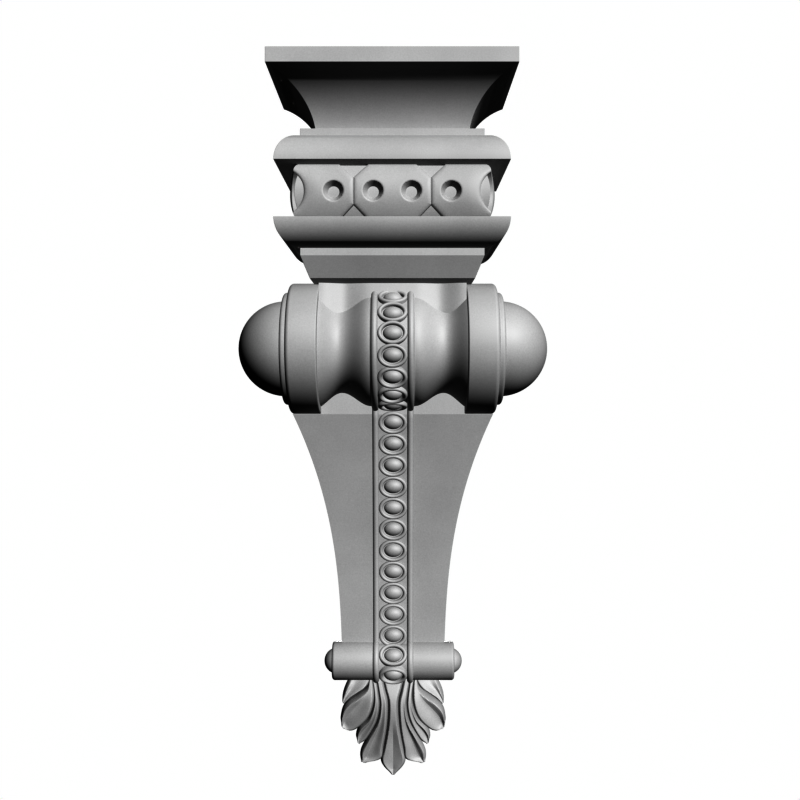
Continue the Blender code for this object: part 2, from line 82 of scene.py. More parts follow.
def formObject(name, bm):
    bmesh.ops.remove_doubles(bm, verts=bm.verts, dist=weldGap * mm)
    bmesh.ops.recalc_face_normals(bm, faces=bm.faces)
    mesh = bpy.data.meshes.new(name)
    bm.to_mesh(mesh)
    bm.free()
    form = bpy.data.objects.new(name, mesh)
    bpy.context.scene.collection.objects.link(form)
    return form


# Cap: a square slab, cove, bands, frieze band, fillets and splay, mitred at the corners

cap = {
    "half": 90.0,
    "front": 115.7,
    "top": 210.0,
    "slabFoot": 199.0,
    "coveRadius": 49.5,
    "coveSteps": 28,
    "neckHalf": 56.9,
    "neckZ": 158.0,
    "filletHalf": 67.4,
    "filletFoot": 152.4,
    "bandHalf": 84.7,
    "bandSteps": 20,
    "friezeTop": 131.4,
    "friezeFoot": 90.7,
    "lowerBandFoot": 70.9,
    "splayTop": 65.3,
    "splayFoot": 49.3,
    "splayFootHalf": 60.8,
    "arris": 0.25,  # rounding of the edges that turn by more than the angle below
    "arrisAngle": 35.0,
}

frieze = {
    "baseHalf": 65.2,  # half width of the sunk band at its top and foot
    "bulge": 6.0,
    "tileRise": 4.6,  # tiles stand this far off the band
    "tileRoot": 3.5,  # and run this far into it
    "tileEnd": 80.0,  # outer tiles are drawn to here and cut off at the mitre
    "mitreGap": 0.02,
    "seam": 28.1,
    "chamfer": 10.6,
    "edgeSink": 1.0,  # how far a tile's face rounds down at its edge
    "edgeWidth": 3.4,
    "edgePower": 3.6,
    "edgeLoops": (0.25, 0.35, 0.5),
    "holes": (13.9, 42.6),
    "holeRim": 7.4,
    "holeSegments": 48,
    "holeLip": 0.35,  # the face rounds down this far at a hole, over the lip's width
    "lipWidth": 1.1,
    "holeFloor": 4.2,
    "holeDepth": 6.0,
    "scoopPlace": 81.3,
    "scoopRadius": 17.3,
    "scoopSteps": 40,
    "scoopDip": 1.2,  # the face leans in towards the scoop, over the dip's width
    "dipWidth": 11.0,
    "cell": 1.6,
    "drillSpare": 0.5,  # drills are wider than the holes by this much
    "drillFoot": -9.0,
    "drillTop": 1.0,
    "drillSegments": 24,
    "rimSlack": 0.02,  # slacks tell which corners lie on a rim, on the face or on a cut
    "faceSlack": 0.001,
    "cutSlack": 0.01,
    "mitreSlack": 0.002,
}

cornerStep = cap["front"] - cap["half"]
friezeMiddle = (cap["friezeTop"] + cap["friezeFoot"]) / 2
wallSink = 6.0  # every form runs this far behind the wall plane before it is cut flat


def coveProfile(steps):
    top = Vector((cap["half"], cap["slabFoot"]))
    foot = Vector((cap["neckHalf"], cap["neckZ"]))
    chord = foot - top
    side = Vector((-chord.y, chord.x)).normalized()
    centre = top + chord / 2 + side * math.sqrt(cap["coveRadius"] ** 2 - (chord.length / 2) ** 2)
    start = math.degrees(math.atan2(top.y - centre.y, top.x - centre.x)) % 360
    end = math.degrees(math.atan2(foot.y - centre.y, foot.x - centre.x)) % 360
    return arcPoints(centre, (cap["coveRadius"], cap["coveRadius"]), start, end, steps)


# sinkage of the frieze's barrel at a height, measured back from its middle
def barrel(z):
    halfHeight = (cap["friezeTop"] - cap["friezeFoot"]) / 2
    radius = (halfHeight**2 + frieze["bulge"] ** 2) / (2 * frieze["bulge"])
    return radius - math.sqrt(radius**2 - (z - friezeMiddle) ** 2)


def friezeBand(steps):
    points = []
    middleHalf = frieze["baseHalf"] + frieze["bulge"]
    for i in range(steps + 1):
        z = cap["friezeTop"] + (cap["friezeFoot"] - cap["friezeTop"]) * i / steps
        points.append((middleHalf - barrel(z), z))
    return points


def capProfile():
    fillet, steps = cap["filletHalf"], cap["bandSteps"]
    reach = cap["bandHalf"] - fillet
    upperHeight = cap["filletFoot"] - cap["friezeTop"]
    lowerHeight = cap["friezeFoot"] - cap["lowerBandFoot"]
    profile = coveProfile(cap["coveSteps"])
    profile += [(fillet, cap["neckZ"])]
    profile += arcPoints((fillet, cap["friezeTop"]), (reach, upperHeight), 90, 0, steps)
    profile += friezeBand(steps)
    profile += arcPoints((fillet, cap["friezeFoot"]), (reach, lowerHeight), 0, -90, steps)
    profile += [(fillet, cap["splayTop"]), (cap["splayFootHalf"], cap["splayFoot"])]
    return profile


def squareStation(half, front, z):
    def place(corner):
        x = math.copysign(half, corner.x)
        y = -front if corner.y < 0 else wallSink
        return Vector((x, y, z)) * mm

    return place


def makeCap():
    bm = bmesh.new()
    bmesh.ops.create_grid(bm, x_segments=1, y_segments=1, size=0.5)
    slab = squareStation(cap["half"], cap["front"], cap["top"])
    bm.faces.ensure_lookup_table()
    for vert in bm.verts:
        vert.co = slab(vert.co)
    stations = [squareStation(half, half + cornerStep, z) for half, z in capProfile()]
    pullThrough(bm, bm.faces[0], stations)
    bmesh.ops.recalc_face_normals(bm, faces=bm.faces)
    sharp = math.radians(cap["arrisAngle"])
    bmesh.ops.bevel(
        bm,
        geom=[edge for edge in bm.edges if edge.calc_face_angle(0) > sharp],
        offset=cap["arris"] * mm,
        affect="EDGES",
        segments=2,
        profile=0.5,
        material=-1,
        clamp_overlap=True,
    )
    return formObject("cap", bm)


# Frieze tiles: drawn flat as (place along the face, height, rise) and then laid on the barrel


def friezePlace(side, along, z, rise):
    half = frieze["baseHalf"] + frieze["bulge"] + frieze["tileRise"] - barrel(z)
    if side == 0:
        return Vector((along, -(half + rise + cornerStep), z)) * mm
    return Vector((side * (half + rise), -(along + cornerStep), z)) * mm


def tileOutline(left, right, scooped):
    top, foot, cut = cap["friezeTop"], cap["friezeFoot"], frieze["chamfer"]
    outline = [(left + cut, top)]
    if scooped:
        centre, radius = (frieze["scoopPlace"], friezeMiddle), frieze["scoopRadius"]
        gape = math.degrees(math.acos((right - centre[0]) / radius))
        outline += [(right, top)]
        outline += arcPoints(centre, (radius, radius), gape, 360 - gape, frieze["scoopSteps"])
        outline += [(right, foot)]
    else:
        outline += [(right - cut, top), (right, top - cut)]
        outline += [(right, foot + cut), (right - cut, foot)]
    outline += [(left + cut, foot), (left, foot + cut), (left, top - cut)]
    return outline


def closedLoop(bm, points, rise):
    verts = [bm.verts.new((a, z, rise)) for a, z in points]
    return [bm.edges.new((near, far)) for near, far in zip(verts, verts[1:] + verts[:1])]


def openEdges(bm):
    return [edge for edge in bm.edges if edge.is_boundary]


def loopNear(bm, test):
    return [edge for edge in openEdges(bm) if all(test(vert.co) for vert in edge.verts)]


# extrudes an open loop to new places and closes its end
def sinkLoop(bm, edges, place):
    result = bmesh.ops.extrude_edge_only(bm, edges=edges)["geom"]
    verts = {item for item in result if isinstance(item, bmesh.types.BMVert)}
    for vert in verts:
        vert.co = place(vert.co)
    pulled = [item for item in result if isinstance(item, bmesh.types.BMEdge)]
    bmesh.ops.contextual_create(bm, geom=[edge for edge in pulled if set(edge.verts) <= verts])


def cutThrough(bm, place, normal, slack, clear=False):
    bmesh.ops.bisect_plane(
        bm,
        geom=bm.verts[:] + bm.edges[:] + bm.faces[:],
        dist=slack,
        plane_co=place,
        plane_no=normal,
        clear_outer=clear,
    )


def gapToLoop(a, z, loop):
    spot = Vector((a, z))
    gaps = []
    for near, far in zip(loop, loop[1:] + loop[:1]):
        way = Vector(far) - Vector(near)
        share = min(max((spot - Vector(near)).dot(way) / way.length_squared, 0), 1)
        gaps.append((spot - Vector(near) - way * share).length)
    return min(gaps)


# how far a tile's face lies below the barrel, by the distances to its outline, holes and scoop
def faceSink(a, z, outline, rims):
    soft = max(1 - gapToLoop(a, z, outline) / frieze["edgeWidth"], 0) ** frieze["edgePower"]
    lip = max(1 - min(gapToLoop(a, z, rim) for rim in rims) / frieze["lipWidth"], 0) ** 2
    toScoop = Vector((frieze["scoopPlace"] - a, z - friezeMiddle))
    gap = max(toScoop.length - frieze["scoopRadius"], 0)
    dip = max(1 - gap / frieze["dipWidth"], 0) ** 2 * (toScoop.x / toScoop.length) ** 2
    return frieze["edgeSink"] * soft + frieze["holeLip"] * lip + frieze["scoopDip"] * dip


def spread(start, end):
    count = int((end - start) / frieze["cell"])
    return [start + (end - start) * (i + 1) / (count + 1) for i in range(count)]


def makeTile(side, outline, holes, mirrored):
    bm = bmesh.new()
    rim, count = frieze["holeRim"], frieze["holeSegments"]
    last = 360 - 360 / count
    rims = [arcPoints((hole, friezeMiddle), (rim, rim), 0, last, count - 1) for hole in holes]
    edges = closedLoop(bm, outline, 0)
    for points in rims:
        edges += closedLoop(bm, points, 0)
    bmesh.ops.triangle_fill(bm, use_beauty=True, edges=edges)
    top = bm.faces[:]
    for width in frieze["edgeLoops"]:
        bmesh.ops.inset_region(
            bm, faces=top, thickness=width, depth=0, use_boundary=True, use_even_offset=True
        )

    def onRim(co, hole):
        return abs(math.hypot(co.x - hole, co.y - friezeMiddle) - rim) < frieze["rimSlack"]

    # walls down into the band behind, and hole cones down to flat floors
    foot = -frieze["tileRise"] - frieze["tileRoot"]
    shrink = frieze["holeFloor"] / rim
    outer = loopNear(bm, lambda co: not any(onRim(co, hole) for hole in holes))
    sinkLoop(bm, outer, lambda co: Vector((co.x, co.y, foot)))
    for hole in holes:
        centre = Vector((hole, friezeMiddle, -frieze["holeDepth"]))
        sinkLoop(
            bm,
            loopNear(bm, lambda co: onRim(co, hole)),
            lambda co: centre + Vector((co.x - hole, co.y - friezeMiddle, 0)) * shrink,
        )
    # cuts that let the face follow the barrel, then soft edges round the outline and the holes
    reach = [point[0] for point in outline]
    for z in spread(cap["friezeFoot"], cap["friezeTop"]):
        cutThrough(bm, (0, z, 0), (0, 1, 0), frieze["cutSlack"])
    for a in spread(min(reach), max(reach)):
        cutThrough(bm, (a, 0, 0), (1, 0, 0), frieze["cutSlack"])
    for vert in bm.verts:
        if vert.co.z > -frieze["faceSlack"]:
            vert.co.z = -faceSink(vert.co.x, vert.co.y, outline, rims)
    turn = -1 if mirrored else 1
    for vert in bm.verts:
        vert.co = friezePlace(side, turn * vert.co.x, vert.co.y, vert.co.z)
    # an outer tile ends at the corner's mitre
    if max(reach) > frieze["seam"]:
        way = side if side else turn
        place = Vector((way * frieze["mitreGap"], -cornerStep, 0)) * mm
        normal = (way, 1, 0) if side == 0 else (-way, -1, 0)
        cutThrough(bm, place, normal, frieze["mitreSlack"] * mm, True)
        bmesh.ops.holes_fill(bm, edges=openEdges(bm), sides=0)
    return formObject("tile", bm)


def makeTiles():
    tiles = []
    centre = tileOutline(-frieze["seam"], frieze["seam"], False)
    outside = tileOutline(frieze["seam"], frieze["tileEnd"], True)
    near, far = frieze["holes"]
    for side in (0, -1, 1):
        tiles.append(makeTile(side, centre, (-near, near), False))
        tiles.append(makeTile(side, outside, (far,), False))
    tiles.append(makeTile(0, outside, (far,), True))
    return tiles


# drills that sink the band behind each hole
def makeDrills():
    places = [sign * hole for hole in frieze["holes"] for sign in (-1, 1)]
    radius = frieze["holeRim"] + frieze["drillSpare"]
    top = [lambda co: Vector((co.x, co.y, frieze["drillTop"]))]
    drills = []
    for side in (0, -1, 1):
        for along in places:
            if side and along < -cornerStep:
                continue  # that place lies behind the wall plane
            bm = bmesh.new()
            bmesh.ops.create_circle(
                bm, cap_ends=True, segments=frieze["drillSegments"], radius=radius
            )
            bmesh.ops.translate(bm, vec=(along, friezeMiddle, frieze["drillFoot"]), verts=bm.verts)
            bm.faces.ensure_lookup_table()
            pullThrough(bm, bm.faces[0], top)
            for vert in bm.verts:
                vert.co = friezePlace(side, vert.co.x, vert.co.y, vert.co.z)
            drills.append(formObject("drill", bm))
    return drills


# Block under the cap: its face dips beside the strap, steps out at its edges and leans forward

block = {
    "half": 56.5,
    "front": 57.0,
    "dipStart": 17.0,
    "dipRun": 23.0,
    "dip": 3.0,
    "flareStart": 34.0,
    "flareRun": 22.0,
    "flare": 5.6,
    "leanHeight": 22.6,  # over this height the face comes forward by the two leans below
    "leanMiddle": 3.4,
    "leanSide": 1.5,
    "top": 55.0,
    "foot": -4.0,
    "across": 48,
    "down": 8,
}


def blockFront(x, z):
    side = ease((abs(x) - block["dipStart"]) / block["dipRun"])
    flare = block["flare"] * ease((abs(x) - block["flareStart"]) / block["flareRun"])
    lean = block["leanMiddle"] + (block["leanSide"] - block["leanMiddle"]) * side
    lean = lean * (cap["splayFoot"] - z) / block["leanHeight"]
    return block["front"] - block["dip"] * side + flare + lean


# the front's corners are drawn at y = -1 and brought to their places at the end
def makeBlock():
    half, top = block["half"], block["top"]
    steps, rows = block["across"], block["down"]
    outline = [(-half + 2 * half * i / steps, -1, top) for i in range(steps + 1)]
    outline += [(half, wallSink, top), (-half, wallSink, top)]
    bm = bmesh.new()
    face = polygonFace(bm, outline)
    heights = [top + (block["foot"] - top) * (i + 1) / rows for i in range(rows)]
    pullThrough(bm, face, [lambda co, z=z: Vector((co.x, co.y, z)) for z in heights])
    for vert in bm.verts:
        x, y, z = vert.co
        vert.co = Vector((x, -blockFront(x, z) if y < 0 else y, z)) * mm
    return formObject("block", bm)


# Large roll, turned about a line along X, with the strap's bed and its two round edges

roll = {
    "depth": 34.2,
    "bulge": 45.1,
    "bulgeEnd": 17.0,
    "waist": 34.7,
    "waistPlace": 40.0,
    "flare": 13.0,
    "collar": 51.1,
    "collarInner": 56.5,
    "collarInnerRound": 1.0,
    "collarOuter": 80.2,
    "collarRound": 3.2,
    "step": 44.0,
    "stepOuter": 85.1,
    "stepRound": 2.4,
    "dome": 37.3,
    "domePlace": 83.9,
    "fallSteps": 20,
    "riseSteps": 16,
    "spinSteps": 120,
}

strap = {
    "rod": 2.55,
    "rodPlace": 13.8,
    "rodRise": 1.5,
    "rodDip": 20.0,  # a rod's arc runs this many degrees below level on both sides
    "rodSteps": 22,
    "rodLess": 0.07,  # the shaft's rods are thinner by this much, so that no faces coincide
    "root": -1.5,
    "head": 5.0,  # the shaft's strap starts this far up inside the large roll
    "bedRise": 0.6,
    "pitch": 17.65,
    "beadWidth": 11.4,
    "beadHeight": 9.1,
    "rollReach": 48.4,  # radius at which the pitch is measured round the large roll
    "rollStart": 53.7,
    "rollBeads": 7,
    "shaftStart": 6.5,
    "shaftBeads": 11,
    "rollerReach": 16.0,
    "rollerStart": 30.3,
    "rollerBeads": 2,
}


def strapHalf(base, rod):
    centre, dip = (strap["rodPlace"], base + strap["rodRise"]), strap["rodDip"]
    points = [(0, base + strap["bedRise"])]
    points += arcPoints(centre, (rod, rod), 180 + dip, -dip, strap["rodSteps"])
    return points


def outerRound(x, radius, soft, steps):
    return arcPoints((x - soft, radius - soft), (soft, soft), 90, 0, steps)


def domedEnd(face, place, radius, steps):
    meet = math.degrees(math.acos((face - place) / radius))
    dome = arcPoints((place, 0), (radius, radius), meet, 0, steps)
    return dome[:-1] + [(place + radius, 0)]


def rollProfile():
    points = strapHalf(roll["bulge"], strap["rod"])
    points += [(roll["bulgeEnd"], roll["bulge"])]
    run = roll["waistPlace"] - roll["bulgeEnd"]
    fall = roll["bulge"] - roll["waist"]
    steps = roll["fallSteps"]
    for i in range(1, steps + 1):
        points.append((roll["bulgeEnd"] + run * i / steps, roll["bulge"] - fall * ease(i / steps)))
    steps = roll["riseSteps"]
    for i in range(1, steps + 1):
        x = roll["waistPlace"] + (roll["collarInner"] - roll["waistPlace"]) * i / steps
        points.append((x, roll["waist"] + roll["flare"] * ease((x - roll["waistPlace"]) / run)))
    soft = roll["collarInnerRound"]
    centre = (roll["collarInner"] + soft, roll["collar"] - soft)
    points += arcPoints(centre, (soft, soft), 180, 90, 8)
    points += outerRound(roll["collarOuter"], roll["collar"], roll["collarRound"], 10)
    points += [(roll["collarOuter"], roll["step"])]
    points += outerRound(roll["stepOuter"], roll["step"], roll["stepRound"], 9)
    points += domedEnd(roll["stepOuter"], roll["domePlace"], roll["dome"], 22)
    return points


def makeTurned(name, halfProfile, depth, z, steps):
    profile = [(-x, r) for x, r in reversed(halfProfile[1:])] + halfProfile
    bm = bmesh.new()
    chain = [bm.verts.new(Vector((x, -depth - r, z)) * mm) for x, r in profile]
    for near, far in zip(chain, chain[1:]):
        bm.edges.new((near, far))
    bmesh.ops.spin(
        bm,
        geom=bm.verts[:] + bm.edges[:],
        cent=Vector((0, -depth, z)) * mm,
        axis=(1, 0, 0),
        angle=math.tau,
        steps=steps,
        use_merge=True,
    )
    return formObject(name, bm)


# Shaft: narrows in a curve and leans back to the wall, from behind the roll down to the roller

shaft = {
    "head": 6.0,  # the solid starts at this height, inside the large roll
    "top": -51.5,
    "foot": -240.4,
    "overrun": 6.0,  # and goes on below the foot by this much, into the small roller
    "topHalf": 78.9,
    "footHalf": 41.9,
    "taper": 5.5,
    "sweepPower": 2.55,
    "topFront": 34.4,
    "topTilt": 14.4,
    "footTilt": 2.8,
    "stations": 60,
}


def shaftHalf(z):
    left = 1 - min((shaft["top"] - z) / (shaft["top"] - shaft["foot"]), 1)
    sweep = shaft["topHalf"] - shaft["footHalf"] - shaft["taper"]
    return shaft["footHalf"] + shaft["taper"] * left + sweep * left ** shaft["sweepPower"]


def shaftFront(z):
    length = shaft["top"] - shaft["foot"]
    share = (shaft["top"] - z) / length
    topSlope = math.tan(math.radians(shaft["topTilt"]))
    footSlope = math.tan(math.radians(shaft["footTilt"]))
    return shaft["topFront"] - length * (topSlope * share + (footSlope - topSlope) * share**2 / 2)


# distances down from the shaft's top at which it has its stations
def shaftSteps():
    run = shaft["top"] - shaft["foot"] + shaft["overrun"]
    return [run * i / shaft["stations"] for i in range(shaft["stations"] + 1)]


def makeShaft():
    bm = bmesh.new()
    bmesh.ops.create_grid(bm, x_segments=1, y_segments=1, size=0.5)
    bm.faces.ensure_lookup_table()
    head = squareStation(shaft["topHalf"], shaft["topFront"], shaft["head"])
    for vert in bm.verts:
        vert.co = head(vert.co)
    heights = [shaft["top"] - down for down in shaftSteps()]
    pullThrough(bm, bm.faces[0], [squareStation(shaftHalf(z), shaftFront(z), z) for z in heights])
    return formObject("shaft", bm)


# Small roller at the shaft's foot, its back cut off by the wall, with a button on each end

roller = {
    "depth": 4.0,
    "z": -253.6,
    "radius": 15.4,
    "half": 49.5,
    "soft": 2.2,
    "button": 10.35,
    "buttonPlace": 45.75,
    "spinSteps": 72,
}


def rollerProfile():
    points = strapHalf(roller["radius"] - strap["rodRise"], strap["rod"])
    points += [(strap["rodPlace"] + strap["rod"], roller["radius"])]
    points += outerRound(roller["half"], roller["radius"], roller["soft"], 9)
    points += domedEnd(roller["half"], roller["buttonPlace"], roller["button"], 14)
    return points


# Strap and beads: drawn flat by their place along and across, and laid on the rolls and shaft


def onRoll(along, x, rise):
    angle = -along / strap["rollReach"]
    radius = roll["bulge"] + rise
    return Vector((x, -roll["depth"] - radius * math.cos(angle), radius * math.sin(angle))) * mm


def onRoller(along, x, rise):
    angle = -along / strap["rollerReach"]
    radius = roller["radius"] - strap["rodRise"] + rise
    y = -roller["depth"] - radius * math.cos(angle)
    return Vector((x, y, roller["z"] + radius * math.sin(angle))) * mm


def onShaft(along, x, rise):
    share = along / (shaft["top"] - shaft["foot"])
    tilt = shaft["topTilt"] + (shaft["footTilt"] - shaft["topTilt"]) * share
    z = shaft["top"] - along * math.cos(math.radians((shaft["topTilt"] + tilt) / 2))
    out = shaftFront(z) + rise * math.cos(math.radians(tilt))
    return Vector((x, -out, z - rise * math.sin(math.radians(tilt)))) * mm


def makeShaftStrap():
    half = strapHalf(0, strap["rod"] - strap["rodLess"])[1:] + [(strap["rodPlace"], strap["root"])]
    section = [(-x, rise) for x, rise in reversed(half)] + half
    bm = bmesh.new()
    face = polygonFace(bm, [(x, -strap["head"], rise) for x, rise in section])
    stations = [lambda co, along=along: Vector((co.x, along, co.z)) for along in shaftSteps()]
    pullThrough(bm, face, stations)
    for vert in bm.verts:
        x, along, rise = vert.co
        if along < 0:
            vert.co = Vector((x, -shaft["topFront"] - rise, shaft["top"] - along)) * mm
        else:
            vert.co = onShaft(along, x, rise)
    return formObject("shaftStrap", bm)


# ring and dome of a bead; offsets run in from the outer edge, less along the strap than across
bead = {
    "segments": 40,
    "alongShare": 0.87,
    "sink": -6.0,
    "ring": 1.6,
    "ringHeight": 2.3,
    "ringSteps": 16,
    "groove": (3.35, 0.9),
    "grooveWidth": 0.3,
    "domeStart": (4.2, 0.7),
    "domeTop": 5.3,
    "domeRings": 9,
    "domePace": 10.0,  # degrees from one ring of the dome to the next
}


def beadRings():
    ring, height, groove = bead["ring"], bead["ringHeight"], bead["groove"]
    offset, base = bead["domeStart"]
    steps = arcPoints((ring, height), (-ring, ring), 0, 180, bead["ringSteps"])
    steps += [groove, (groove[0] + bead["grooveWidth"], base)]

    def reachAt(inset):
        return strap["beadWidth"] - inset, strap["beadHeight"] - inset * bead["alongShare"]

    rings = [(*reachAt(inset), rise) for inset, rise in steps]
    across, up = reachAt(offset)
    for i in range(bead["domeRings"]):
        turn = math.radians(bead["domePace"] * i)
        rise = base + (bead["domeTop"] - base) * math.sin(turn)
        rings.append((across * math.cos(turn), up * math.cos(turn), rise))
    return rings


# the rings are stacked flat and a corner's height is its ring's number until it is laid down
def makeBead(surface, along):
    rings = [(strap["beadWidth"], strap["beadHeight"], bead["sink"])]
    rings += beadRings() + [(0, 0, bead["domeTop"])]
    last = len(rings) - 1
    bm = bmesh.new()
    bmesh.ops.create_circle(bm, cap_ends=True, segments=bead["segments"], radius=1)
    bm.faces.ensure_lookup_table()
    stations = [lambda co, n=n: Vector((co.x, co.y, n)) for n in range(1, last)]
    face = pullThrough(bm, bm.faces[0], stations)
    centre = bmesh.ops.poke(bm, faces=[face])["verts"][0]
    centre.co.z = last
    base = surface(along, 0, 0)
    out = surface(along, 0, 1) - base
    right = Vector((1, 0, 0)) * mm
    upward = out.cross(right) / mm
    for vert in bm.verts:
        across, up, rise = rings[round(vert.co.z)]
        vert.co = base + right * across * vert.co.x + upward * up * vert.co.y + out * rise
    return formObject("bead", bm)


def makeBeads():
    rollStart = math.radians(strap["rollStart"]) * strap["rollReach"]
    rollerStart = math.radians(strap["rollerStart"]) * strap["rollerReach"]
    runs = (
        (onRoll, -rollStart, strap["rollBeads"]),
        (onShaft, strap["shaftStart"], strap["shaftBeads"]),
        (onRoller, -rollerStart, strap["rollerBeads"]),
    )
    beads = []
    for surface, start, count in runs:
        beads += [makeBead(surface, start + strap["pitch"] * i) for i in range(count)]
    return beads


# Palmette leaf: each lobe is a spoon between two edges, drawn from the root to the tip

leaf = {
    "stretch": 1.04,  # the edges below are stretched down from the pivot, and spread sideways
    "pivot": 248.0,
    "spread": 1.02,
    "rootZ": 258.4,
    "crestZ": 287.0,
    "rootDepth": 4.0,
    "crestDepth": 18.5,
    "fallTilt": 16.0,  # below the crest the face leans back by this angle
    "fallStart": 15.0,  # and reaches it this far down
    "half": 42.8,
    "sideFall": 4.5,
    "layer": 0.45,
    "edgeDrop": 6.0,
    "edgeDepth": 0.6,  # the drop is at most this share of the leaf's depth
    "edgeRun": 2.6,
    "edgeShare": 0.33,
    "edgeFade": 5.0,  # the edge's drop fades out over this length before the tip
    "rimShare": 0.7,
    "tipDrop": 1.6,
    "tipRun": 1.6,
    "tipEnd": 0.985,  # lobes stop at this share of their edges' length
    "tipCrowd": 1.5,  # rows lie closer together towards the tip by this power
    "valleyShare": 0.2,
    "leastWidth": 0.01,
    "across": 26,
    "along": 42,
}

# valley of a lobe: its place across, its depth, and the shares of the length where it starts
# and where it is full
valleys = {
    "middle": (0.5, 2.4, 0.377, 0.531),
    "first": (0.62, 2.8, 0.15, 0.6),
    "second": (0.6, 2.2, 0.2, 0.6),
    "third": (0.64, 3.0, 0.1, 0.55),
    "fourth": (0.58, 2.4, 0.05, 0.5),
}

# edges of the lobes on the right, as (place across, distance below the large roll's axis)
lobeEdges = {
    "middle": [
        (11.0, 260.0), (6.8, 273.7), (4.3, 284.0), (5.1, 302.6),
        (8.1, 321.4), (10.0, 331.0), (7.2, 337.6), (0.0, 344.6),
    ],
    "firstIn": [
        (10.0, 260.0), (6.4, 273.7), (3.9, 284.0), (4.7, 302.6),
        (7.7, 321.4), (9.9, 331.0), (24.5, 334.4),
    ],
    "firstOut": [
        (15.5, 260.0), (11.9, 277.0), (11.0, 287.0), (13.6, 299.9),
        (21.0, 313.9), (26.2, 325.0), (25.6, 334.0),
    ],
    "secondIn": [
        (14.5, 260.0), (11.5, 277.0), (10.6, 287.0), (13.2, 299.9),
        (20.0, 313.0), (23.5, 317.0), (27.4, 318.1),
    ],
    "secondOut": [
        (19.0, 260.0), (15.6, 275.0), (16.2, 286.4), (20.3, 297.0),
        (27.0, 304.6), (29.8, 311.5), (28.0, 317.6),
    ],
    "thirdIn": [
        (18.0, 260.0), (15.0, 275.0), (15.8, 286.4), (20.0, 297.2),
        (27.6, 305.4), (34.0, 308.2), (40.4, 305.2),
    ],
    "thirdOut": [
        (18.6, 262.0), (21.4, 273.2), (28.2, 279.4), (35.6, 284.4),
        (40.3, 290.2), (42.1, 298.2), (40.8, 304.6),
    ],
    "fourthIn": [
        (15.5, 258.0), (18.0, 268.5), (22.0, 273.9), (28.0, 277.8),
        (33.0, 281.2), (36.6, 284.0), (39.4, 285.2),
    ],
    "fourthOut": [
        (34.0, 258.0), (34.6, 264.0), (36.4, 269.0), (38.4, 273.4),
        (39.7, 277.0), (40.5, 280.6), (40.1, 284.6),
    ],
}


# place on a smooth curve through the points, at a share of its length
def alongEdge(points, share):
    place = share * (len(points) - 1)
    i = min(int(place), len(points) - 2)
    t = place - i
    before = points[max(i - 1, 0)]
    after = points[min(i + 2, len(points) - 1)]
    found = []
    for a, b, c, d in zip(before, points[i], points[i + 1], after):
        bend = 2 * a - 5 * b + 4 * c - d + t * (3 * (b - c) + d - a)
        found.append(b + 0.5 * t * (c - a + t * bend))
    return found


def leafDepth(x, drop):
    rise = leaf["crestDepth"] - leaf["rootDepth"]
    if drop < leaf["crestZ"]:
        share = max((drop - leaf["rootZ"]) / (leaf["crestZ"] - leaf["rootZ"]), 0)
        depth = leaf["rootDepth"] + rise * math.sin(share * math.pi / 2)
    else:
        past = drop - leaf["crestZ"]
        run = leaf["fallStart"]
        way = past**2 / (2 * run) if past < run else past - run / 2
        depth = leaf["crestDepth"] - way * math.tan(math.radians(leaf["fallTilt"]))
    return depth - leaf["sideFall"] * (x / leaf["half"]) ** 2


# how far a lobe's face lies below the leaf, by the place across, width, depth and way along
def lobeSink(valley, cross, width, depth, share, toTip):
    place, deep, start, full = valley
    least = leaf["leastWidth"]
    run = min(leaf["edgeRun"], leaf["edgeShare"] * width)
    gap = min(cross, 1 - cross) * width
    drop = min(leaf["edgeDrop"], leaf["edgeDepth"] * depth)
    edge = drop * max(1 - gap / max(run, least), 0) ** 2 * ease(toTip / leaf["edgeFade"])
    rim = leaf["rimShare"] * run / max(width, least)
    if cross < place:
        side = (cross - rim) / (place - rim)
    else:
        side = (1 - rim - cross) / (1 - rim - place)
    side = min(max(side, 0), 1)
    shape = side if place == 0.5 else ease(side)
    deep = min(deep, leaf["valleyShare"] * width)
    hollow = deep * shape * ease((share - start) / (full - start))
    tip = leaf["tipDrop"] * max(1 - toTip / leaf["tipRun"], 0) ** 2
    return edge + hollow + tip


def makeLobe(inner, outer, valley, layer):
    bm = bmesh.new()
    bmesh.ops.create_grid(bm, x_segments=leaf["across"], y_segments=leaf["along"], size=0.5)
    front = newFaces(bmesh.ops.extrude_face_region(bm, geom=bm.faces[:]))
    frontVerts = {vert for face in front for vert in face.verts}
    length = math.hypot(inner[0][0] - inner[-1][0], inner[0][1] - inner[-1][1])
    for vert in bm.verts:
        cross = ease(vert.co.x + 0.5)
        share = leaf["tipEnd"] * (1 - (0.5 - vert.co.y) ** leaf["tipCrowd"])
        start = alongEdge(inner, share)
        end = alongEdge(outer, share)
        x = start[0] + (end[0] - start[0]) * cross
        drop = start[1] + (end[1] - start[1]) * cross
        width = math.hypot(end[0] - start[0], end[1] - start[1])
        depth = leafDepth(x, drop) - layer
        toTip = (leaf["tipEnd"] - share) * length
        depth -= lobeSink(valley, cross, width, depth, share, toTip)
        vert.co = Vector((x, -depth if vert in frontVerts else wallSink + layer, -drop)) * mm
    return formObject("lobe", bm)


def realEdge(points, side):
    stretch, pivot = leaf["stretch"], leaf["pivot"]
    return [(side * x * leaf["spread"], pivot + (drop - pivot) * stretch) for x, drop in points]


def mirroredValley(valley):
    return (1 - valley[0],) + valley[1:]


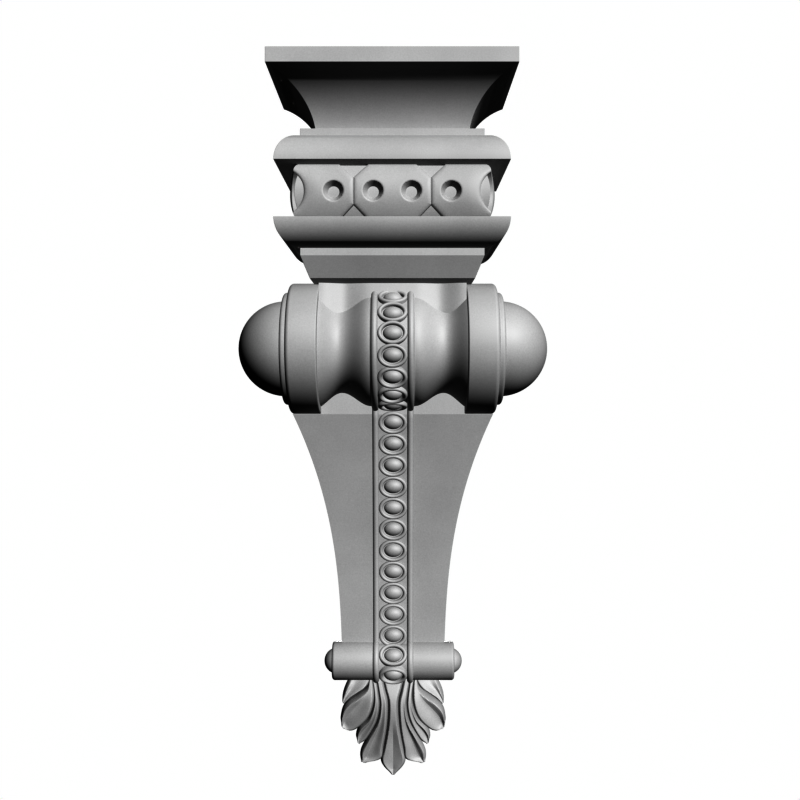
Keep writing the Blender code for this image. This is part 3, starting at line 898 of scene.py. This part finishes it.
def makeLeaf():
    middle = lobeEdges["middle"]
    lobes = [makeLobe(realEdge(middle, -1), realEdge(middle, 1), valleys["middle"], 0)]
    for order, name in enumerate(("first", "second", "third", "fourth"), start=1):
        inner, outer = lobeEdges[name + "In"], lobeEdges[name + "Out"]
        valley, layer = valleys[name], leaf["layer"] * order
        lobes.append(makeLobe(realEdge(inner, 1), realEdge(outer, 1), valley, layer))
        valley = mirroredValley(valley)
        lobes.append(makeLobe(realEdge(outer, -1), realEdge(inner, -1), valley, layer))
    return lobes


# One piece: the forms are fused and cut flat at the wall


def applyBoolean(target, tool, operation):
    step = target.modifiers.new(operation.lower(), "BOOLEAN")
    step.operation = operation
    step.solver = "MANIFOLD"
    step.object = tool
    depsgraph = bpy.context.evaluated_depsgraph_get()
    mesh = bpy.data.meshes.new_from_object(target.evaluated_get(depsgraph))
    target.modifiers.remove(step)
    old = target.data
    target.data = mesh
    bpy.data.meshes.remove(old)
    bpy.data.objects.remove(tool)


def wallCut():
    bm = bmesh.new()
    bmesh.ops.create_cube(bm, size=1)
    bmesh.ops.translate(bm, vec=(0, 0.5, 0), verts=bm.verts)
    return formObject("wallCut", bm)


def makeBracket():
    body = makeCap()
    print("cap made")
    for drill in makeDrills():
        applyBoolean(body, drill, "DIFFERENCE")
    parts = makeTiles()
    print("frieze made")
    parts.append(makeBlock())
    parts.append(makeTurned("largeRoll", rollProfile(), roll["depth"], 0, roll["spinSteps"]))
    parts.append(makeShaft())
    place, steps = (roller["depth"], roller["z"]), roller["spinSteps"]
    parts.append(makeTurned("smallRoller", rollerProfile(), *place, steps))
    parts.append(makeShaftStrap())
    print("rolls and shaft made")
    parts += makeBeads()
    print("beads made")
    parts += makeLeaf()
    print("leaf made")
    for part in parts:
        applyBoolean(body, part, "UNION")
    applyBoolean(body, wallCut(), "DIFFERENCE")
    body.name = "castBracket"
    body.data.name = "castBracket"
    body.data.shade_smooth()
    body.data.set_sharp_from_angle(angle=math.radians(smoothAngle))
    print("forms fused:", len(body.data.polygons), "faces")
    return body


bracket = makeBracket()


# Material


def linear(hexColour):
    parts = [int(hexColour[i : i + 2], 16) / 255 for i in (1, 3, 5)]
    return [p / 12.92 if p <= 0.04045 else ((p + 0.055) / 1.055) ** 2.4 for p in parts] + [1]


def addNode(tree, kind, settings=None, links=()):
    node = tree.nodes.new(kind)
    for key, value in (settings or {}).items():
        if key in node.inputs:
            node.inputs[key].default_value = value
        else:
            setattr(node, key, value)
    for output, inputName in links:
        tree.links.new(output, node.inputs[inputName])
    return node


stone = {
    "pale": "#818181",
    "dark": "#777777",
    "cloudSize": 60.0,  # soft clouds of tone, in millimetres across
    "cloudDetail": 4.0,
    "cloudRange": (0.35, 0.65),
    "cloudTone": (0.25, 0.75),
    "grainSize": 0.9,
    "grainDetail": 3.0,
    "grainRange": (0.3, 0.7),
    "grainTone": (-0.3, 0.3),
    "grainDepth": 0.012,
    "poreSize": 2.6,
    "poreShare": 0.14,
    "poreDepth": 0.05,
    "rough": 0.64,
    "roughSpread": 0.05,
    "specular": 0.4,
}


def perMetre(size):
    return 1 / (size * mm)


def noise(tree, place, size, detail):
    settings = {"Scale": perMetre(size), "Detail": detail}
    return addNode(tree, "ShaderNodeTexNoise", settings, [(place, "Vector")]).outputs[0]


def mapRange(tree, value, before, after):
    ends = {"From Min": before[0], "From Max": before[1], "To Min": after[0], "To Max": after[1]}
    return addNode(tree, "ShaderNodeMapRange", ends, [(value, "Value")]).outputs[0]


def bump(tree, depth, links):
    settings = {"Strength": 1.0, "Distance": depth * mm}
    return addNode(tree, "ShaderNodeBump", settings, links).outputs[0]


# Fine grey cast stone, rubbed smooth: faint clouds, a fine sand grain and a few pinholes
def rubbedCastStone():
    material = bpy.data.materials.new("rubbedCastStone")
    material.use_nodes = True
    tree = material.node_tree
    shader = tree.nodes["Principled BSDF"]
    place = addNode(tree, "ShaderNodeTexCoord").outputs["Object"]
    clouds = noise(tree, place, stone["cloudSize"], stone["cloudDetail"])
    grain = noise(tree, place, stone["grainSize"], stone["grainDetail"])
    poreScale = {"Scale": perMetre(stone["poreSize"])}
    pores = addNode(tree, "ShaderNodeTexVoronoi", poreScale, [(place, "Vector")])
    tone = mapRange(tree, clouds, stone["cloudRange"], stone["cloudTone"])
    speck = mapRange(tree, grain, stone["grainRange"], stone["grainTone"])
    adding = {"operation": "ADD", "use_clamp": True}
    blend = addNode(tree, "ShaderNodeMath", adding, [(tone, 0), (speck, 1)]).outputs[0]
    colour = addNode(tree, "ShaderNodeMix", {"data_type": "RGBA"}, [(blend, "Factor")])
    colour.inputs[6].default_value = linear(stone["dark"])
    colour.inputs[7].default_value = linear(stone["pale"])
    tree.links.new(colour.outputs[2], shader.inputs["Base Color"])
    ends = (stone["rough"] - stone["roughSpread"], stone["rough"] + stone["roughSpread"])
    rough = mapRange(tree, grain, stone["grainRange"], ends)
    tree.links.new(rough, shader.inputs["Roughness"])
    pinholes = mapRange(tree, pores.outputs["Distance"], (0.0, stone["poreShare"]), (0.0, 1.0))
    pits = bump(tree, stone["poreDepth"], [(pinholes, "Height")])
    sand = bump(tree, stone["grainDepth"], [(grain, "Height"), (pits, "Normal")])
    tree.links.new(sand, shader.inputs["Normal"])
    shader.inputs["Specular IOR Level"].default_value = stone["specular"]
    return material


bracket.data.materials.clear()
bracket.data.materials.append(rubbedCastStone())
print("material made")

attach(bracket, "root")
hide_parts("carved_bracket")


# Floor, camera and lights

studio = {
    "floorZ": -1.0,  # floor sizes are in metres
    "floorHalf": 0.9,
    "floorPaint": "#E6E6E4",
    "floorRough": 0.9,
    "cameraX": 5.6,
    "cameraY": -823.0,
    "cameraZ": -40.3,
    "lens": 45.0,
    "keyWay": (0.402, -0.789, 0.465),
    "keyStrength": 11.4,
    "backWay": (0, 1, 0),  # lights the flat back alone, for views from behind
    "backStrength": 5.0,
    "sunAngle": 3.0,
    "fill": 0.03,
    "gamma": 0.4545,  # the picture's values follow the light evenly, from black to pale grey
}


def makeFloor():
    bm = bmesh.new()
    bmesh.ops.create_grid(bm, x_segments=1, y_segments=1, size=studio["floorHalf"])
    bmesh.ops.translate(bm, vec=(0, 0, studio["floorZ"]), verts=bm.verts)
    floor = formObject("floor", bm)
    paint = bpy.data.materials.new("paleStudioPaint")
    paint.use_nodes = True
    shader = paint.node_tree.nodes["Principled BSDF"]
    shader.inputs["Base Color"].default_value = linear(studio["floorPaint"])
    shader.inputs["Roughness"].default_value = studio["floorRough"]
    floor.data.materials.append(paint)
    floor.visible_diffuse = False
    floor.visible_glossy = False


def makeCamera():
    data = bpy.data.cameras.new("photoView")
    data.lens = studio["lens"]
    data.sensor_width = 36
    data.clip_start = 0.01
    camera = bpy.data.objects.new("photoView", data)
    camera.location = Vector((studio["cameraX"], studio["cameraY"], studio["cameraZ"])) * mm
    camera.rotation_euler = (math.radians(90), 0, 0)
    bpy.context.scene.collection.objects.link(camera)
    bpy.context.scene.camera = camera


def makeSun(name, way, strength):
    data = bpy.data.lights.new(name, "SUN")
    data.angle = math.radians(studio["sunAngle"])
    data.energy = strength
    light = bpy.data.objects.new(name, data)
    light.location = Vector(way)
    light.rotation_euler = (-Vector(way)).to_track_quat("-Z", "Y").to_euler()
    bpy.context.scene.collection.objects.link(light)
    return light


def makeWorld():
    world = bpy.data.worlds.new("paleStudio")
    bpy.context.scene.world = world
    world.use_nodes = True
    tree = world.node_tree
    tree.nodes.clear()
    seen = addNode(tree, "ShaderNodeLightPath").outputs["Is Camera Ray"]
    white = {"Color": (1, 1, 1, 1), "Strength": 1.0}
    backdrop = addNode(tree, "ShaderNodeBackground", white).outputs[0]
    faint = {"Color": (1, 1, 1, 1), "Strength": studio["fill"]}
    fill = addNode(tree, "ShaderNodeBackground", faint).outputs[0]
    mix = addNode(tree, "ShaderNodeMixShader", links=((seen, 0), (fill, 1), (backdrop, 2)))
    addNode(tree, "ShaderNodeOutputWorld", links=((mix.outputs[0], "Surface"),))


def makeStudio():
    makeFloor()
    makeCamera()
    key = makeSun("keySun", studio["keyWay"], studio["keyStrength"])
    key.data.use_shadow = False
    back = makeSun("backSun", studio["backWay"], studio["backStrength"])
    back.data.specular_factor = 0
    makeWorld()
    bpy.context.scene.view_settings.view_transform = "Standard"
    bpy.context.scene.view_settings.gamma = studio["gamma"]


makeStudio()
print("studio made")
